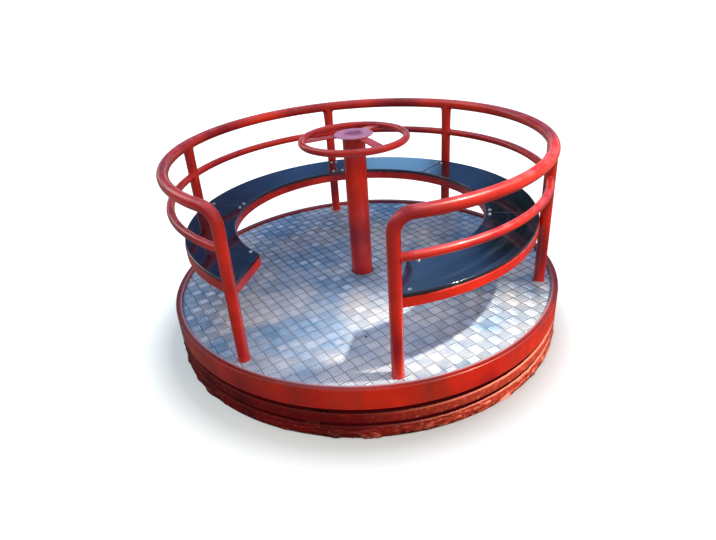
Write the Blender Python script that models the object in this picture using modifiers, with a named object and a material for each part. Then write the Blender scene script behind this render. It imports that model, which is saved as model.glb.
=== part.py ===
"""A playground roundabout with a ring bench, in metres, +Z up.

The origin is the centre of the fixed ground ring, on the ground. The gateway in the
guard rail faces -Y. A fixed base carries the centre column and its hand wheel, and the
platform with the bench and the guard rail turns about the column.
"""
import math

import bmesh
import bpy
from mathutils import Matrix, Vector

# Gap kept between pieces that touch
GAP = 0.0003

# Platform: red steel rim band with an edge bar on top, and the chequer plate inside it
RIM_R = 0.800
RIM_TOP = 0.200
RIM_BOTTOM = 0.119
RIM_WALL = 0.006
EDGE_BAR_W = 0.025
EDGE_BAR_H = 0.011
EDGE_ROUND = 0.004
DECK_T = 0.005
DECK_TOP = RIM_TOP - EDGE_BAR_H - GAP
DECK_UNDER = DECK_TOP - DECK_T

# Underframe of the platform
HUB_R = 0.085
SHAFT_GAP = 0.003
BEARING_Z = 0.100
DECK_ARM_W = 0.030
DECK_ARM_H = 0.040
DECK_ARM_END_GAP = 0.0008
DECK_ARM_ANGLES = (45, 135, 225, 315)

# Fixed base: two rolled rings on four arms round a bearing pedestal
BASE_RING_T = 0.008
LOWER_RING_TOP = 0.043
UPPER_RING_BOTTOM = 0.062
UPPER_RING_TOP = 0.098
PEDESTAL_R = 0.075
BASE_ARM_W = 0.040
BASE_ARM_Z = (0.004, 0.040)
UPRIGHT_T = 0.008
UPRIGHT_W = 0.050
UPRIGHT_BACK = 0.0011
BASE_ARMS = {"right": 0, "back": 90, "left": 180, "front": 270}

# Centre column and hand wheel
COLUMN_R = 0.04445
COLUMN_FOOT = 0.002
WHEEL_R = 0.204
WHEEL_TUBE_R = 0.01345
WHEEL_Z = 0.7705
HUB_PLATE_R = 0.079
HUB_PLATE_T = 0.006
HUB_PLATE_TOP = 0.7895
SPOKE_W = 0.040
SPOKE_T = 0.005
SPOKE_BEND_R = 0.088
SPOKE_END_GAP = 0.0018
SPOKE_ANGLES = (75, 195, 315)

# Guard rail: one tube bent down at the gateway into the two end posts
RAIL_R = 0.730
RAIL_Z = 0.747
TUBE_R = 0.0212
BEND_R = 0.058
MID_RAIL_Z = 0.613
MID_TUBE_R = 0.015
GATE_HALF_ANGLE = 21.6
POST_ANGLES = {"right": 0, "back_right": 66, "back_left": 114, "left": 180}

# Ring bench: boards on two flat-bar rings, held by the posts
BENCH_IN_R = 0.506
BENCH_OUT_R = 0.7065
BOARD_TOP = 0.4745
BOARD_T = 0.014
BOARD_JOINT = 0.002
BAR_T = 0.006
BAR_H = 0.033
INNER_BAR_IN_R = 0.510
BRACKET_W = 0.076
BRACKET_END_GAP = 0.0012

# How finely round shapes are divided: steps round the axis, degrees along an arc
TURN_STEPS = 96
COLUMN_SIDES = 32
POST_SIDES = 16
WHEEL_STEPS = 48
WHEEL_TUBE_SIDES = 12
COPE_SIDES = 24
BEND_STEPS = 8
SEAT_ARC_STEP = 3.0
RAIL_ARC_STEP = 6.0
END_SEGMENT = 0.2
RAIL_ROUNDNESS = 4
MID_RAIL_ROUNDNESS = 3
CUTTER_ROUNDNESS = 6

# Values worked out from the driving dimensions
GATE_ANGLES = (-90 - GATE_HALF_ANGLE, -90 + GATE_HALF_ANGLE)
GATE_X = RAIL_R * math.sin(math.radians(GATE_HALF_ANGLE))
GATE_Y = -RAIL_R * math.cos(math.radians(GATE_HALF_ANGLE))
BOARD_UNDER = BOARD_TOP - BOARD_T
BAR_TOP = BOARD_UNDER - GAP
BAR_BOTTOM = BAR_TOP - BAR_H
OUTER_BAR_R = RAIL_R - TUBE_R - GAP
SPOKE_END_R = WHEEL_R - WHEEL_TUBE_R - SPOKE_END_GAP
HUB_PLATE_UNDER = HUB_PLATE_TOP - HUB_PLATE_T
STANDING_Z = DECK_TOP + GAP


def clear_scene():
    for obj in list(bpy.data.objects):
        bpy.data.objects.remove(obj, do_unlink=True)
    for collection in list(bpy.data.collections):
        bpy.data.collections.remove(collection)


def new_collection(name):
    collection = bpy.data.collections.new(name)
    bpy.context.scene.collection.children.link(collection)
    return collection


def linear(value):
    """One sRGB channel from 0 to 1, turned to linear light."""
    return value / 12.92 if value <= 0.04045 else ((value + 0.055) / 1.055) ** 2.4


def make_material(name, rgb, roughness, metallic):
    """A Principled material; rgb are sRGB values from 0 to 255."""
    material = bpy.data.materials.new(name)
    material.use_nodes = True
    shader = material.node_tree.nodes["Principled BSDF"]
    shader.inputs["Base Color"].default_value = [linear(c / 255) for c in rgb] + [1.0]
    shader.inputs["Roughness"].default_value = roughness
    shader.inputs["Metallic"].default_value = metallic
    return material


def on_circle(radius, degrees, z=0.0):
    angle = math.radians(degrees)
    return Vector((radius * math.cos(angle), radius * math.sin(angle), z))


def place(obj, material, collection, parent):
    """Put a finished object in its collection, with its material and its parent empty."""
    for old in list(obj.users_collection):
        old.objects.unlink(obj)
    collection.objects.link(obj)
    obj.data.materials.clear()
    obj.data.materials.append(material)
    obj.parent = parent
    obj.matrix_parent_inverse = parent.matrix_world.inverted()
    return obj


def shade(mesh, angle=35):
    mesh.shade_smooth()
    mesh.set_sharp_from_angle(angle=math.radians(angle))


def object_from_bmesh(name, bm):
    mesh = bpy.data.meshes.new(name)
    bm.to_mesh(mesh)
    bm.free()
    return bpy.data.objects.new(name, mesh)


def box(name, low, high):
    """A box between two corners, from bmesh's cube."""
    low, high = Vector(low), Vector(high)
    bm = bmesh.new()
    bmesh.ops.create_cube(bm, size=1.0)
    bmesh.ops.scale(bm, vec=high - low, verts=bm.verts)
    bmesh.ops.translate(bm, vec=(low + high) / 2, verts=bm.verts)
    return object_from_bmesh(name, bm)


def cylinder(name, radius, z_low, z_high, sides, centre=(0.0, 0.0)):
    bm = bmesh.new()
    bmesh.ops.create_cone(bm, cap_ends=True, segments=sides, radius1=radius,
                          radius2=radius, depth=z_high - z_low)
    bmesh.ops.translate(bm, vec=(centre[0], centre[1], (z_low + z_high) / 2), verts=bm.verts)
    obj = object_from_bmesh(name, bm)
    shade(obj.data)
    return obj


def turned(name, profile, steps, closed=True):
    """A (radius, z) profile turned about Z; a closed one comes back up its inner side."""
    mesh = bpy.data.meshes.new(name)
    count = len(profile)
    edges = [(i, i + 1) for i in range(count - 1)]
    if closed:
        edges.append((count - 1, 0))
    mesh.from_pydata([(r, 0.0, z) for r, z in profile], edges, [])
    obj = bpy.data.objects.new(name, mesh)
    screw = obj.modifiers.new("Turn", "SCREW")
    screw.axis = "Z"
    screw.angle = math.tau
    screw.steps = steps
    screw.render_steps = steps
    screw.use_merge_vertices = True
    screw.merge_threshold = 0.00001
    screw.use_smooth_shade = False
    return obj


def rectangle_ring(name, inner_r, outer_r, z_low, z_high, steps):
    corners = [(outer_r, z_high), (outer_r, z_low), (inner_r, z_low), (inner_r, z_high)]
    return turned(name, corners, steps)


def tube(name, points, radius, roundness):
    """A round tube along the points, with closed ends."""
    curve = bpy.data.curves.new(name, "CURVE")
    curve.dimensions = "3D"
    curve.bevel_depth = radius
    curve.bevel_resolution = roundness
    curve.use_fill_caps = True
    spline = curve.splines.new("POLY")
    spline.points.add(len(points) - 1)
    for target, point in zip(spline.points, points):
        target.co = (*point, 1.0)
    return bpy.data.objects.new(name, curve)


def flat_shape(name, outline, thickness):
    """A flat closed outline in the XY plane, extruded both ways from Z 0."""
    curve = bpy.data.curves.new(name, "CURVE")
    curve.dimensions = "2D"
    curve.fill_mode = "BOTH"
    curve.extrude = thickness / 2
    spline = curve.splines.new("POLY")
    spline.points.add(len(outline) - 1)
    for target, point in zip(spline.points, outline):
        target.co = (point[0], point[1], 0.0, 1.0)
    spline.use_cyclic_u = True
    return bpy.data.objects.new(name, curve)


def to_mesh(obj, collection):
    """The evaluated object as a welded mesh object; the old one is removed."""
    name = obj.name
    collection.objects.link(obj)
    bpy.context.view_layer.update()
    evaluated = obj.evaluated_get(bpy.context.evaluated_depsgraph_get())
    mesh = bpy.data.meshes.new_from_object(evaluated)
    matrix = obj.matrix_world.copy()
    bpy.data.objects.remove(obj, do_unlink=True)
    bm = bmesh.new()
    bm.from_mesh(mesh)
    bmesh.ops.remove_doubles(bm, verts=bm.verts, dist=0.00001)
    bmesh.ops.recalc_face_normals(bm, faces=bm.faces)
    bm.to_mesh(mesh)
    bm.free()
    result = bpy.data.objects.new(name, mesh)
    result.matrix_world = matrix
    return result


def combine(obj, other, operation, cutters):
    """Add a Boolean with another object, which becomes a hidden guide."""
    cutters.objects.link(other)
    other.hide_render = True
    other.display_type = "WIRE"
    modifier = obj.modifiers.new(operation.title(), "BOOLEAN")
    modifier.operation = operation
    modifier.object = other
    return obj


def arc_degrees(start, end, step):
    """Angles from start to end, on whole steps between them."""
    first = math.floor(start / step) + 1
    last = math.ceil(end / step) - 1
    inner = [i * step for i in range(first, last + 1)]
    return [start] + inner + [end]


def gate_cut(radius, x):
    """The angles at which a circle of this radius crosses the gateway's sides."""
    side = math.degrees(math.asin(x / radius))
    return -90 + side, 270 - side


def strip_outline(inner_r, outer_r, ends_at):
    """A ring strip's outline; ends_at gives each radius its start and end angle."""
    outer = [on_circle(outer_r, a) for a in arc_degrees(*ends_at(outer_r), SEAT_ARC_STEP)]
    inner = [on_circle(inner_r, a) for a in arc_degrees(*ends_at(inner_r), SEAT_ARC_STEP)]
    return outer + inner[::-1]


def rail_angle(distance, post_angle, sense):
    """The angle at this distance along the guard rail's circle from its end post."""
    return post_angle + sense * math.degrees(distance / RAIL_R)


def bent_rail_points(post_angle, sense, end_angle):
    """Foot, post, bend and round run of half the guard rail; sense is +1 or -1."""
    points = [on_circle(RAIL_R, post_angle, STANDING_Z)]
    for i in range(BEND_STEPS + 1):
        turn = math.radians(90 * i / BEND_STEPS)
        along = BEND_R * (1 - math.cos(turn))
        z = RAIL_Z - BEND_R * (1 - math.sin(turn))
        points.append(on_circle(RAIL_R, rail_angle(along, post_angle, sense), z))
    bend_end = rail_angle(BEND_R, post_angle, sense)
    run = arc_degrees(min(bend_end, end_angle), max(bend_end, end_angle), RAIL_ARC_STEP)
    if sense < 0:
        run = run[::-1]
    # A short last chord keeps the end cap square to the circle
    square_end = [end_angle - sense * END_SEGMENT, end_angle]
    points += [on_circle(RAIL_R, a, RAIL_Z) for a in run[1:-1] + square_end]
    return points


def make_base(mats, parts, cutters, axis):
    ring_in = RIM_R - BASE_RING_T
    lower = rectangle_ring("base_ring_lower", ring_in, RIM_R, 0.0, LOWER_RING_TOP, TURN_STEPS)
    upper = rectangle_ring("base_ring_upper", ring_in, RIM_R, UPPER_RING_BOTTOM,
                           UPPER_RING_TOP, TURN_STEPS)
    place(lower, mats["base"], parts, axis)
    place(upper, mats["base"], parts, axis)
    pedestal = rectangle_ring("bearing_pedestal", COLUMN_R + GAP, PEDESTAL_R, COLUMN_FOOT,
                              BEARING_Z, COLUMN_SIDES)
    place(pedestal, mats["steel"], parts, axis)
    face = ring_in - UPRIGHT_BACK
    half = BASE_ARM_W / 2
    for side, angle in BASE_ARMS.items():
        arm = box(f"base_arm_{side}", (PEDESTAL_R + GAP, -half, BASE_ARM_Z[0]),
                  (face - UPRIGHT_T / 2, half, BASE_ARM_Z[1]))
        upright = box(f"upright_{side}", (face - UPRIGHT_T, -UPRIGHT_W / 2, COLUMN_FOOT),
                      (face, UPRIGHT_W / 2, UPPER_RING_TOP))
        turn = Matrix.Rotation(math.radians(angle), 4, "Z")
        arm.data.transform(turn)
        upright.data.transform(turn)
        combine(arm, upright, "UNION", cutters)
        place(arm, mats["steel"], parts, axis)


def make_column_and_wheel(mats, parts, axis):
    column_top = HUB_PLATE_UNDER - GAP
    column = cylinder("centre_column", COLUMN_R, COLUMN_FOOT, column_top, COLUMN_SIDES)
    place(column, mats["red"], parts, axis)
    edge = HUB_PLATE_T / 2
    profile = [(0.0, HUB_PLATE_TOP), (HUB_PLATE_R - edge, HUB_PLATE_TOP),
               (HUB_PLATE_R, HUB_PLATE_TOP - edge), (HUB_PLATE_R - edge, HUB_PLATE_UNDER),
               (0.0, HUB_PLATE_UNDER)]
    plate = turned("hub_plate", profile, COLUMN_SIDES, closed=False)
    place(plate, mats["worn"], parts, axis)
    bpy.ops.mesh.primitive_torus_add(major_radius=WHEEL_R, minor_radius=WHEEL_TUBE_R,
                                     major_segments=WHEEL_STEPS,
                                     minor_segments=WHEEL_TUBE_SIDES,
                                     location=(0.0, 0.0, WHEEL_Z))
    ring = bpy.context.object
    ring.name = "wheel_ring"
    shade(ring.data)
    place(ring, mats["red"], parts, axis)
    drop = WHEEL_Z + SPOKE_T / 2
    side_view = [(COLUMN_R + GAP, column_top - SPOKE_T), (SPOKE_BEND_R, column_top - SPOKE_T),
                 (SPOKE_END_R, drop - SPOKE_T), (SPOKE_END_R, drop),
                 (SPOKE_BEND_R, column_top), (COLUMN_R + GAP, column_top)]
    for number, angle in enumerate(SPOKE_ANGLES, 1):
        spoke = flat_shape(f"wheel_spoke_{number}", side_view, SPOKE_W)
        spoke.rotation_euler = (math.radians(90), 0.0, math.radians(angle))
        place(spoke, mats["red"], parts, axis)


def make_platform(mats, parts, axis):
    inner = RIM_R - RIM_WALL
    bar_in = RIM_R - EDGE_BAR_W
    bar_under = RIM_TOP - EDGE_BAR_H
    corner = EDGE_ROUND * (1 - math.sqrt(0.5))
    rim_profile = [(RIM_R - EDGE_ROUND, RIM_TOP), (RIM_R - corner, RIM_TOP - corner),
                   (RIM_R, RIM_TOP - EDGE_ROUND), (RIM_R, RIM_BOTTOM), (inner, RIM_BOTTOM),
                   (inner, bar_under), (bar_in, bar_under), (bar_in, RIM_TOP - EDGE_ROUND),
                   (bar_in + EDGE_ROUND, RIM_TOP)]
    place(turned("rim_skirt", rim_profile, TURN_STEPS), mats["red"], parts, axis)
    deck = rectangle_ring("deck_plate", COLUMN_R + SHAFT_GAP, inner - GAP, DECK_UNDER,
                          DECK_TOP, TURN_STEPS)
    place(deck, mats["deck"], parts, axis)
    hub_top = DECK_UNDER - GAP
    hub = rectangle_ring("platform_hub", COLUMN_R + SHAFT_GAP, HUB_R, BEARING_Z + GAP,
                         hub_top, COLUMN_SIDES)
    place(hub, mats["steel"], parts, axis)
    half = DECK_ARM_W / 2
    for number, angle in enumerate(DECK_ARM_ANGLES, 1):
        arm = box(f"deck_arm_{number}", (HUB_R + GAP, -half, hub_top - DECK_ARM_H),
                  (inner - DECK_ARM_END_GAP, half, hub_top))
        arm.data.transform(Matrix.Rotation(math.radians(angle), 4, "Z"))
        place(arm, mats["steel"], parts, axis)


def make_guard_rail(mats, parts, cutters, axis):
    halves = {"left": (GATE_ANGLES[0] + 360, -1, 90 + math.degrees(GAP / RAIL_R)),
              "right": (GATE_ANGLES[1], 1, 90)}
    for side, (post_angle, sense, end_angle) in halves.items():
        rail = tube(f"guard_rail_{side}", bent_rail_points(post_angle, sense, end_angle),
                    TUBE_R, RAIL_ROUNDNESS)
        place(rail, mats["red"], parts, axis)
    for side, angle in POST_ANGLES.items():
        foot = on_circle(RAIL_R, angle)
        post = cylinder(f"post_{side}", TUBE_R, STANDING_Z, RAIL_Z, POST_SIDES, foot[:2])
        crown = [on_circle(RAIL_R, angle + i * RAIL_ARC_STEP, RAIL_Z) for i in (-1, 0, 1)]
        cutter = to_mesh(tube(f"cope_{side}", crown, TUBE_R + 2 * GAP, CUTTER_ROUNDNESS), cutters)
        combine(post, cutter, "DIFFERENCE", cutters)
        place(post, mats["red"], parts, axis)
    stops = [GATE_ANGLES[1], *POST_ANGLES.values(), GATE_ANGLES[0] + 360]
    names = ["front_right", "back_right", "back", "back_left", "front_left"]
    cope_r = (TUBE_R + GAP) / math.cos(math.pi / COPE_SIDES)
    for name, start, end in zip(names, stops, stops[1:]):
        points = [on_circle(RAIL_R, a, MID_RAIL_Z)
                  for a in arc_degrees(start, end, RAIL_ARC_STEP)]
        rail = to_mesh(tube(f"mid_rail_{name}", points, MID_TUBE_R, MID_RAIL_ROUNDNESS), cutters)
        for which, angle in (("a", start), ("b", end)):
            centre = on_circle(RAIL_R, angle)
            cutter = cylinder(f"mid_cope_{name}_{which}", cope_r, MID_RAIL_Z - 2 * MID_TUBE_R,
                              MID_RAIL_Z + 2 * MID_TUBE_R, COPE_SIDES, centre[:2])
            combine(rail, cutter, "DIFFERENCE", cutters)
        place(rail, mats["red"], parts, axis)


def make_bench(mats, parts, axis):
    joint_angle = math.degrees(BOARD_JOINT / 2 / BENCH_OUT_R)
    end_x = GATE_X - BAR_T / 2 - GAP

    def board_span(start, end):
        def ends_at(radius):
            first, last = gate_cut(radius, end_x)
            low = first if start is None else start + joint_angle
            high = last if end is None else end - joint_angle
            return low, high
        return ends_at

    stops = [None, *POST_ANGLES.values(), None]
    names = ["front_right", "back_right", "back", "back_left", "front_left"]
    for name, start, end in zip(names, stops, stops[1:]):
        outline = strip_outline(BENCH_IN_R, BENCH_OUT_R, board_span(start, end))
        board = flat_shape(f"seat_board_{name}", outline, BOARD_T)
        board.location.z = (BOARD_TOP + BOARD_UNDER) / 2
        place(board, mats["board"], parts, axis)

    bar_x = GATE_X + BAR_T / 2 + GAP
    middle = math.degrees(GAP / 2 / OUTER_BAR_R)
    bars = {"inner": (INNER_BAR_IN_R, INNER_BAR_IN_R + BAR_T),
            "outer": (OUTER_BAR_R - BAR_T, OUTER_BAR_R)}
    for which, (inner_r, outer_r) in bars.items():
        halves = {"right": lambda r: (gate_cut(r, bar_x)[0], 90 - middle),
                  "left": lambda r: (90 + middle, gate_cut(r, bar_x)[1])}
        for side, ends_at in halves.items():
            bar = flat_shape(f"seat_{which}_bar_{side}",
                             strip_outline(inner_r, outer_r, ends_at), BAR_H)
            bar.location.z = BAR_TOP - BAR_H / 2
            place(bar, mats["red"], parts, axis)

    reach = -math.sqrt(INNER_BAR_IN_R ** 2 - GATE_X ** 2)
    for side, sign in (("left", -1), ("right", 1)):
        x = sign * GATE_X
        end_bar = box(f"seat_end_bar_{side}", (x - BAR_T / 2, GATE_Y + TUBE_R + GAP, BAR_BOTTOM),
                      (x + BAR_T / 2, reach, BAR_TOP))
        place(end_bar, mats["red"], parts, axis)

    half = BRACKET_W / 2
    inner_face = INNER_BAR_IN_R + BAR_T + GAP
    outer_face = OUTER_BAR_R - BAR_T
    corner = math.sqrt(outer_face ** 2 - half ** 2) - BRACKET_END_GAP
    for side, angle in POST_ANGLES.items():
        bracket = box(f"seat_bracket_{side}", (inner_face, -half, BAR_TOP - BAR_T),
                      (corner, half, BAR_TOP))
        bracket.data.transform(Matrix.Rotation(math.radians(angle), 4, "Z"))
        place(bracket, mats["red"], parts, axis)


def main():
    clear_scene()
    parts = new_collection("playground_roundabout")
    cutters = new_collection("guides")
    mats = {
        "red": make_material("painted_steel_red", (200, 34, 26), 0.3, 0.0),
        "base": make_material("weathered_red_steel", (150, 30, 30), 0.7, 0.0),
        "steel": make_material("dark_painted_steel", (60, 22, 22), 0.6, 0.0),
        "worn": make_material("worn_pink_paint", (206, 130, 150), 0.45, 0.0),
        "deck": make_material("aluminium_chequer_plate", (190, 196, 205), 0.3, 1.0),
        "board": make_material("black_gloss_board", (16, 20, 34), 0.15, 0.0),
    }
    base_axis = bpy.data.objects.new("base_frame", None)
    platform_axis = bpy.data.objects.new("platform_axis", None)
    for empty in (base_axis, platform_axis):
        parts.objects.link(empty)
    platform_axis.location.z = BEARING_Z
    bpy.context.view_layer.update()
    make_base(mats, parts, cutters, base_axis)
    make_column_and_wheel(mats, parts, base_axis)
    make_platform(mats, parts, platform_axis)
    make_guard_rail(mats, parts, cutters, platform_axis)
    make_bench(mats, parts, platform_axis)


main()
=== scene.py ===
"""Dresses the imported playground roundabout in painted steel, chequer plate and boards.

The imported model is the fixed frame. Each operator builds one piece, or one group of like
pieces, round it: in metres, +Z up, with the gateway in the guard rail facing -Y.
"""

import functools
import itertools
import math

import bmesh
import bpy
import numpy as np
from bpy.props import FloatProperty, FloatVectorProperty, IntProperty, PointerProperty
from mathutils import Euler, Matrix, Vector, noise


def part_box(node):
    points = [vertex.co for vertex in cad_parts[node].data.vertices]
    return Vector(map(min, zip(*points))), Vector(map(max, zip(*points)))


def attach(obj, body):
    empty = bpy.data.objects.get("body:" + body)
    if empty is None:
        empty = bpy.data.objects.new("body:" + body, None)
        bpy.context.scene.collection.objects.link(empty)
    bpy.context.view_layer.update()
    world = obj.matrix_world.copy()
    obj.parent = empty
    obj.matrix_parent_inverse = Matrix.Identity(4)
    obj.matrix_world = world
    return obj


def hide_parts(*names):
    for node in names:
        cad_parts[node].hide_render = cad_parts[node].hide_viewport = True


bl_info = {
    "name": "Playground Roundabout",
    "version": (1, 0, 0),
    "blender": (4, 5, 0),
    "location": "View3D > Sidebar > Roundabout",
    "description": "Builds the finished surfaces of a playground roundabout and its studio",
    "category": "Add Mesh",
}

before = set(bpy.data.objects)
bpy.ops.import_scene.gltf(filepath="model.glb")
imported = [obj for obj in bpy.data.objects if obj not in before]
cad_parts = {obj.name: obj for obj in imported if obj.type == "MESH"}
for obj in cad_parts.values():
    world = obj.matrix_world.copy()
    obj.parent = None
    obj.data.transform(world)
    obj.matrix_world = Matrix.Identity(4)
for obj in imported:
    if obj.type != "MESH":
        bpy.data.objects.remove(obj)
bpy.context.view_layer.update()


def size(node):
    low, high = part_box(node)
    return high - low


def middle(node):
    low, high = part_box(node)
    return (low + high) / 2


# Sizes are read from the frame where its boxes give them, and are plain numbers elsewhere

# Platform and deck
RIM_LOW, RIM_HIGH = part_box("rim_skirt")
RIM_R = RIM_HIGH.x
RIM_WALL = 0.006
EDGE_BAR_W = 0.025
EDGE_BAR_IN = RIM_R - EDGE_BAR_W
DECK_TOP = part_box("deck_plate")[1].z
# The raised bars stop this far from the rim's edge bar and the column
RIM_CLEAR = 0.001
COLUMN_CLEAR = 0.006
SCREW_PLACE = (0.1222, -0.4902, 0.0)

# Guard rail, posts and mid rail
RAIL_R = middle("post_right").x
TUBE_R = size("post_right").x / 2
RAIL_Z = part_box("guard_rail_left")[1].z - TUBE_R
BEND_R = 0.058
MID_Z = middle("mid_rail_back").z
MID_TUBE_R = 0.015
GATE_X = middle("seat_end_bar_right").x
GATE_ANGLE = math.degrees(math.asin(GATE_X / RAIL_R))
POST_ANGLES = {"right": 0, "back_right": 66, "back_left": 114, "left": 180}
SPAN_NAMES = ("front_right", "back_right", "back", "back_left", "front_left")
SPAN_STOPS = (GATE_ANGLE - 90, *POST_ANGLES.values(), 270 - GATE_ANGLE)
LUG_DROP = 0.062

# Ring bench
BOARD_LOW, BOARD_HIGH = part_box("seat_board_back")
BENCH_OUT_R = BOARD_HIGH.y
BENCH_IN_R = 0.506
BAR_LOW, BAR_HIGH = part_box("seat_outer_bar_left")
BAR_T = size("seat_end_bar_right").x
BAR_EDGE = 0.0012
OUTER_BAR_R = BAR_HIGH.y
INNER_BAR_R = -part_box("seat_inner_bar_left")[0].x
BOARD_JOINT = 0.002
BOARD_END_BEVEL = 0.0025
PIECE_GAP = 0.0003

# Rows of bolts in the boards: radius and half spacing of the pairs at each joint, and the
# radii and distance from the middle of the single ones beside the gateway
JOINT_BOLTS = ((BENCH_IN_R + 0.019, 0.022), (BENCH_OUT_R - 0.040, 0.012))
END_BOLTS = (BENCH_IN_R + 0.016, BENCH_OUT_R - 0.020)
END_BOLT_X = GATE_X + 0.034
BOLTS_AT_JOINT = 2 * len(JOINT_BOLTS)

# Column, hand wheel and ground rings
COLUMN_LOW, COLUMN_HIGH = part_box("centre_column")
COLUMN_R = COLUMN_HIGH.x
PLATE_LOW, PLATE_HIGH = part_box("hub_plate")
WHEEL_TUBE_R = size("wheel_ring").z / 2
WHEEL_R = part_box("wheel_ring")[1].x - WHEEL_TUBE_R
WHEEL_Z = middle("wheel_ring").z
SPOKE_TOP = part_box("wheel_spoke_1")[1].z
SPOKE_ANGLES = (75, 195, 315)
SPOKE_T = 0.005
SPOKE_W = 0.040
SPOKE_EDGE = 0.0014
UPPER_RING_LOW, UPPER_RING_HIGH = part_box("base_ring_upper")
LOWER_RING_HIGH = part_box("base_ring_lower")[1]
GROUND_RING_T = 0.008

# Sides of round parts and steps along long curves
COLUMN_SIDES = 56
WELD_STEPS = 56
WELD_SIDES = 8
RIM_STEPS = 288
RING_STEPS = 120

# The photograph's camera, fitted to the rim, the rails, the bench and the posts
CAMERA_PLACE = (0.5208, -2.0304, 1.3323)
CAMERA_TURN = (61.5475, 4.5467, 14.7502)
CAMERA_LENS = 27.332
CAMERA_SHIFT = (0.0269, -0.0018)

# The key light falls in an oval on the front right of the deck and fades out all round
KEY_DISTANCE = 6.0
KEY_AIM = (0.42, -0.42, 0.19)
KEY_WAY = (11, 58.5)
KEY_REACH = 0.64
KEY_ACROSS = 0.65
KEY_COLOUR = (1.0, 0.87, 0.7)

FLOOR_REACH = 60.0
FLOOR_DROP = 0.0005

# The surround from its horizon to straight up
SKY = ((0.0, "2A2A2C"), (0.2, "304A86"), (0.45, "6498DA"), (0.62, "B0D6FF"), (1.0, "DCEEFF"))

# Azimuth, elevation, inner and outer angle, colour and share kept in reflections of the soft
# patches: pale in front, warm on the right, white high on the left and behind it, a bright
# opening low behind, and dark ones on both sides of it
SOFT_PATCHES = (
    (-68, 22, 18, 78, (0.98, 0.94, 0.86), 0.15),
    (-12, 12, 10, 46, (3.5, 2.0, 1.05), 0.08),
    (182, 48, 6, 20, (3.2, 2.8, 2.6), 1.0),
    (157, 24, 5, 15, (3.0, 2.6, 2.4), 1.0),
    (100, 17, 2, 5.5, (0.45, 1.0, 1.75), 1.0),
    (86, 24, 3, 7, (0.02, 0.035, 0.035), 1.0),
    (125, 21, 5, 14, (0.05, 0.09, 0.22), 1.0),
)

STRIP_COLOUR = (1.7, 1.25, 1.05)
BACKDROP_WHITE = (1.2, 1.2, 1.2)

UP = Vector((0, 0, 1))
LEVEL = (1.0, 1.0, 0.0)


def colour(hexadecimal):
    """An sRGB hex colour as linear red, green and blue."""
    channels = [int(hexadecimal[i:i + 2], 16) / 255 for i in (0, 2, 4)]
    return [c / 12.92 if c <= 0.04045 else ((c + 0.055) / 1.055) ** 2.4 for c in channels]


def per_metre(millimetres):
    """A texture's scale for features of this size."""
    return 1000 / millimetres


def polar(radius, degrees, z=0.0):
    """A point by its distance from the turning axis, angle and height."""
    angle = math.radians(degrees)
    return Vector((radius * math.cos(angle), radius * math.sin(angle), z))


def once_round(steps):
    """Angles in degrees, evenly spaced round a circle."""
    return [360 * i / steps for i in range(steps)]


# Shapes: each is a list of points and a list of faces

def skin(rings, loop=False):
    """Faces between rings of points; an open run of rings is closed with two caps."""
    count = len(rings[0])
    points = [point for ring in rings for point in ring]
    faces = []
    for i in range(len(rings) if loop else len(rings) - 1):
        j = (i + 1) % len(rings)
        for k in range(count):
            n = (k + 1) % count
            faces.append((i * count + k, i * count + n, j * count + n, j * count + k))
    if not loop:
        faces.append(tuple(reversed(range(count))))
        faces.append(tuple(range(len(points) - count, len(points))))
    return points, faces


def circle(radius, sides):
    """A round section's offsets."""
    turns = [math.tau * i / sides for i in range(sides)]
    return [(radius * math.cos(t), radius * math.sin(t)) for t in turns]


def rounded(corners, radius, steps=3):
    """A closed outline with each corner replaced by a short curve between two flats."""
    outline = []
    # The extra points keep the flats' shading flat right up to the curve
    flat_start = radius * 1.06
    for i, corner in enumerate(corners):
        here = Vector(corner)
        back = (Vector(corners[i - 1]) - here).normalized()
        ahead = (Vector(corners[(i + 1) % len(corners)]) - here).normalized()
        outline.append(tuple(here + back * flat_start))
        for k in range(steps + 1):
            t = k / steps
            outline.append(tuple(here + (back * (1 - t) ** 2 + ahead * t ** 2) * radius))
        outline.append(tuple(here + ahead * flat_start))
    return outline


def rectangle(low_a, high_a, low_b, high_b, radius):
    corners = [(low_a, low_b), (high_a, low_b), (high_a, high_b), (low_a, high_b)]
    return rounded(corners, radius)


def sweep(path, section, sides, loop=False, scales=None):
    """A section carried along a path; sides gives the way its first axis points."""
    rings = []
    last = len(path) - 1
    for i, point in enumerate(path):
        before = path[i - 1] if loop or i > 0 else point
        after = path[(i + 1) % len(path)] if loop or i < last else point
        along = (after - before).normalized()
        side = sides[i] if isinstance(sides, list) else sides
        across = (side - along * side.dot(along)).normalized()
        up = along.cross(across)
        scale = scales[i] if scales else 1.0
        rings.append([point + (across * a + up * b) * scale for a, b in section])
    return skin(rings, loop)


def turned(profile, steps, centre=Vector()):
    """A solid of revolution from (radius, z) points, closed at both ends."""
    return skin([[centre + polar(r, a, z) for a in once_round(steps)] for r, z in profile])


def hoop(profile, steps):
    """A closed (radius, z) outline turned about the axis."""
    return skin([[polar(r, a, z) for r, z in profile] for a in once_round(steps)], loop=True)


def arc_strip(profile, span_of, steps):
    """A (radius, z) outline carried along an arc; span_of gives its angles at a radius."""
    spans = [span_of(r) for r, z in profile]
    rings = []
    for i in range(steps + 1):
        t = i / steps
        rings.append([polar(r, start + (end - start) * t, z)
                      for (r, z), (start, end) in zip(profile, spans)])
    return skin(rings)


def gate_span(radius, x):
    """The angles at which a circle meets the two sides of the gateway."""
    side = math.degrees(math.asin(x / radius))
    return side - 90, 270 - side


def radial(points):
    """The outward direction at each point."""
    return [Vector((p.x, p.y, 0.0)).normalized() for p in points]


def link_object(name, data):
    obj = bpy.data.objects.new(name, data)
    bpy.context.scene.collection.objects.link(obj)
    return obj


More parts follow.
